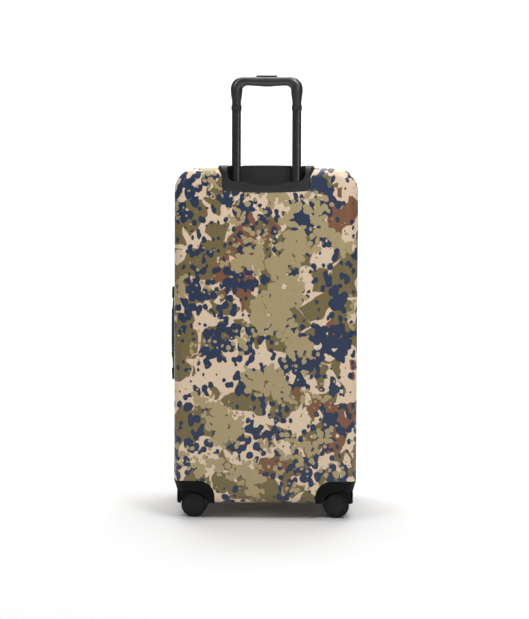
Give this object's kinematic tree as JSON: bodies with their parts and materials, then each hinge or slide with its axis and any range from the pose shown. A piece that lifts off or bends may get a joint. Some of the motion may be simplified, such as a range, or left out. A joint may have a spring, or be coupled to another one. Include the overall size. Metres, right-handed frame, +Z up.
{
  "type": "suitcase",
  "caption": "Tall hard-shell spinner suitcase with a camouflage print, telescopic trolley, flush carry handles, side lock and swivel casters.",
  "frame": {"origin": "on the floor under the centre of the case", "axes": "+Z up, -Y the trolley side, +Y the front, +X the side that the case hinges on"},
  "size_m": [0.4135, 0.3525, 0.9675],
  "materials": {
    "camo_shell": "satin, printed polycarbonate with a fine grain",
    "black_plastic": "satin moulded, fine grain",
    "grip_rubber": "soft-touch",
    "black_aluminium": "black anodised, satin",
    "steel": "zinc plated",
    "tyre_rubber": "matte polyurethane tread",
    "hub_plastic": "satin",
    "zip_tape": "woven tape with nylon coil",
    "zip_metal": "black enamel",
    "lining_cloth": "plain-woven polyester",
    "webbing": "woven webbing",
    "mesh": "knitted mesh",
    "dial_plastic": "satin"
  },
  "bodies": {
    "back_half": {"back_shell": "camo_shell", "back_lining": "lining_cloth", "zipper_back": "zip_tape", "hinge_gusset": "zip_tape", "packing_straps": "webbing", "strap_buckles": "black_plastic", "lock_body": "black_plastic", "handle_housing": "black_plastic", "outer_tubes": "black_aluminium", "tube_foot": "black_plastic", "handle_end_caps": "black_plastic", "back_kingpins": "steel", "wheel_housing_back_left": "black_plastic", "wheel_housing_back_right": "black_plastic"},
    "front_half": {"front_shell": "camo_shell", "front_lining": "lining_cloth", "zipper_front": "zip_tape", "mesh_pocket": "mesh", "front_kingpins": "steel", "wheel_housing_front_left": "black_plastic", "wheel_housing_front_right": "black_plastic"},
    "trolley": {"inner_tubes": "black_aluminium", "grip": "grip_rubber", "grip_collars": "black_plastic"},
    "release": {"release_button": "black_plastic", "lock_rods": "steel"},
    "plunger_left": {"plunger_left": "steel"},
    "plunger_right": {"plunger_right": "steel"},
    "top_handle": {"top_handle": "grip_rubber"},
    "side_handle": {"side_handle": "grip_rubber"},
    "zip_upper": {"zip_slider_upper": "zip_metal"},
    "zip_lower": {"zip_slider_lower": "zip_metal"},
    "dial_1": {"lock_dial_1": "dial_plastic"},
    "dial_2": {"lock_dial_2": "dial_plastic"},
    "dial_3": {"lock_dial_3": "dial_plastic"},
    "latch": {"lock_latch": "black_plastic"},
    "caster_back_left": {"yoke_back_left": "black_plastic", "axle_back_left": "steel"},
    "wheel_back_left_outer": {"hub_back_left_outer": "hub_plastic", "tyre_back_left_outer": "tyre_rubber"},
    "wheel_back_left_inner": {"hub_back_left_inner": "hub_plastic", "tyre_back_left_inner": "tyre_rubber"},
    "caster_back_right": {"yoke_back_right": "black_plastic", "axle_back_right": "steel"},
    "wheel_back_right_outer": {"hub_back_right_outer": "hub_plastic", "tyre_back_right_outer": "tyre_rubber"},
    "wheel_back_right_inner": {"hub_back_right_inner": "hub_plastic", "tyre_back_right_inner": "tyre_rubber"},
    "caster_front_left": {"yoke_front_left": "black_plastic", "axle_front_left": "steel"},
    "wheel_front_left_outer": {"hub_front_left_outer": "hub_plastic", "tyre_front_left_outer": "tyre_rubber"},
    "wheel_front_left_inner": {"hub_front_left_inner": "hub_plastic", "tyre_front_left_inner": "tyre_rubber"},
    "caster_front_right": {"yoke_front_right": "black_plastic", "axle_front_right": "steel"},
    "wheel_front_right_outer": {"hub_front_right_outer": "hub_plastic", "tyre_front_right_outer": "tyre_rubber"},
    "wheel_front_right_inner": {"hub_front_right_inner": "hub_plastic", "tyre_front_right_inner": "tyre_rubber"}
  },
  "joints": [
    {"name": "case_hinge", "type": "hinge", "parent": "back_half", "child": "front_half", "pos_m": [0.2022, 0, 0.4], "axis": [0, 0, -1], "range_deg": [0, 180]},
    {"name": "trolley_slide", "type": "slide", "parent": "back_half", "child": "trolley", "axis": [0, 0, 1], "range_m": [-0.186, 0.133]},
    {"name": "release_press", "type": "slide", "parent": "trolley", "child": "release", "axis": [0, 0, -1], "range_m": [0, 0.0045], "stiffness_N_per_m": 2500, "springref_m": -0.002},
    {"name": "plunger_left_slide", "type": "slide", "parent": "trolley", "child": "plunger_left", "axis": [1, 0, 0], "range_m": [0, 0.0031]},
    {"name": "plunger_right_slide", "type": "slide", "parent": "trolley", "child": "plunger_right", "axis": [-1, 0, 0], "range_m": [0, 0.0031]},
    {"name": "top_handle_lift", "type": "slide", "parent": "back_half", "child": "top_handle", "axis": [0, 0, 1], "range_m": [0, 0.016], "stiffness_N_per_m": 1500, "springref_m": -0.001},
    {"name": "side_handle_lift", "type": "slide", "parent": "back_half", "child": "side_handle", "axis": [-1, 0, 0], "range_m": [0, 0.016], "stiffness_N_per_m": 1500, "springref_m": -0.001},
    {"name": "zip_upper_slide", "type": "slide", "parent": "back_half", "child": "zip_upper", "axis": [0, 0, 1], "range_m": [0, 0.265]},
    {"name": "zip_lower_slide", "type": "slide", "parent": "back_half", "child": "zip_lower", "axis": [0, 0, -1], "range_m": [0, 0.32]},
    {"name": "latch_slide", "type": "slide", "parent": "back_half", "child": "latch", "axis": [0, 0, -1], "range_m": [0, 0.005], "stiffness_N_per_m": 300, "springref_m": -0.002},
    {"name": "dial_1_turn", "type": "hinge", "parent": "back_half", "child": "dial_1", "pos_m": [-0.1948, -0.038, 0.3805], "axis": [0, 0, 1], "continuous": true},
    {"name": "dial_2_turn", "type": "hinge", "parent": "back_half", "child": "dial_2", "pos_m": [-0.1948, -0.038, 0.3885], "axis": [0, 0, 1], "continuous": true},
    {"name": "dial_3_turn", "type": "hinge", "parent": "back_half", "child": "dial_3", "pos_m": [-0.1948, -0.038, 0.3965], "axis": [0, 0, 1], "continuous": true},
    {"name": "swivel_back_left", "type": "hinge", "parent": "back_half", "child": "caster_back_left", "pos_m": [-0.146, -0.121, 0.05], "axis": [0, 0, 1], "continuous": true},
    {"name": "spin_back_left_outer", "type": "hinge", "parent": "caster_back_left", "child": "wheel_back_left_outer", "pos_m": [-0.15597, -0.12022, 0.02775], "axis": [-0.0785, -0.9969, 0], "continuous": true},
    {"name": "spin_back_left_inner", "type": "hinge", "parent": "caster_back_left", "child": "wheel_back_left_inner", "pos_m": [-0.15597, -0.12022, 0.02775], "axis": [-0.0785, -0.9969, 0], "continuous": true},
    {"name": "swivel_back_right", "type": "hinge", "parent": "back_half", "child": "caster_back_right", "pos_m": [0.146, -0.121, 0.05], "axis": [0, 0, 1], "continuous": true},
    {"name": "spin_back_right_outer", "type": "hinge", "parent": "caster_back_right", "child": "wheel_back_right_outer", "pos_m": [0.15597, -0.12022, 0.02775], "axis": [-0.0785, 0.9969, 0], "continuous": true},
    {"name": "spin_back_right_inner", "type": "hinge", "parent": "caster_back_right", "child": "wheel_back_right_inner", "pos_m": [0.15597, -0.12022, 0.02775], "axis": [-0.0785, 0.9969, 0], "continuous": true},
    {"name": "swivel_front_left", "type": "hinge", "parent": "front_half", "child": "caster_front_left", "pos_m": [-0.146, 0.121, 0.05], "axis": [0, 0, 1], "continuous": true},
    {"name": "spin_front_left_outer", "type": "hinge", "parent": "caster_front_left", "child": "wheel_front_left_outer", "pos_m": [-0.15597, 0.12022, 0.02775], "axis": [0.0785, -0.9969, 0], "continuous": true},
    {"name": "spin_front_left_inner", "type": "hinge", "parent": "caster_front_left", "child": "wheel_front_left_inner", "pos_m": [-0.15597, 0.12022, 0.02775], "axis": [0.0785, -0.9969, 0], "continuous": true},
    {"name": "swivel_front_right", "type": "hinge", "parent": "front_half", "child": "caster_front_right", "pos_m": [0.146, 0.121, 0.05], "axis": [0, 0, 1], "continuous": true},
    {"name": "spin_front_right_outer", "type": "hinge", "parent": "caster_front_right", "child": "wheel_front_right_outer", "pos_m": [0.15597, 0.12022, 0.02775], "axis": [0.0785, 0.9969, 0], "continuous": true},
    {"name": "spin_front_right_inner", "type": "hinge", "parent": "caster_front_right", "child": "wheel_front_right_inner", "pos_m": [0.15597, 0.12022, 0.02775], "axis": [0.0785, 0.9969, 0], "continuous": true}
  ],
  "couplings": [
    {"joint": "plunger_left_slide", "follows": "release_press", "ratio": 0.6667},
    {"joint": "plunger_right_slide", "follows": "release_press", "ratio": 0.6667}
  ]
}
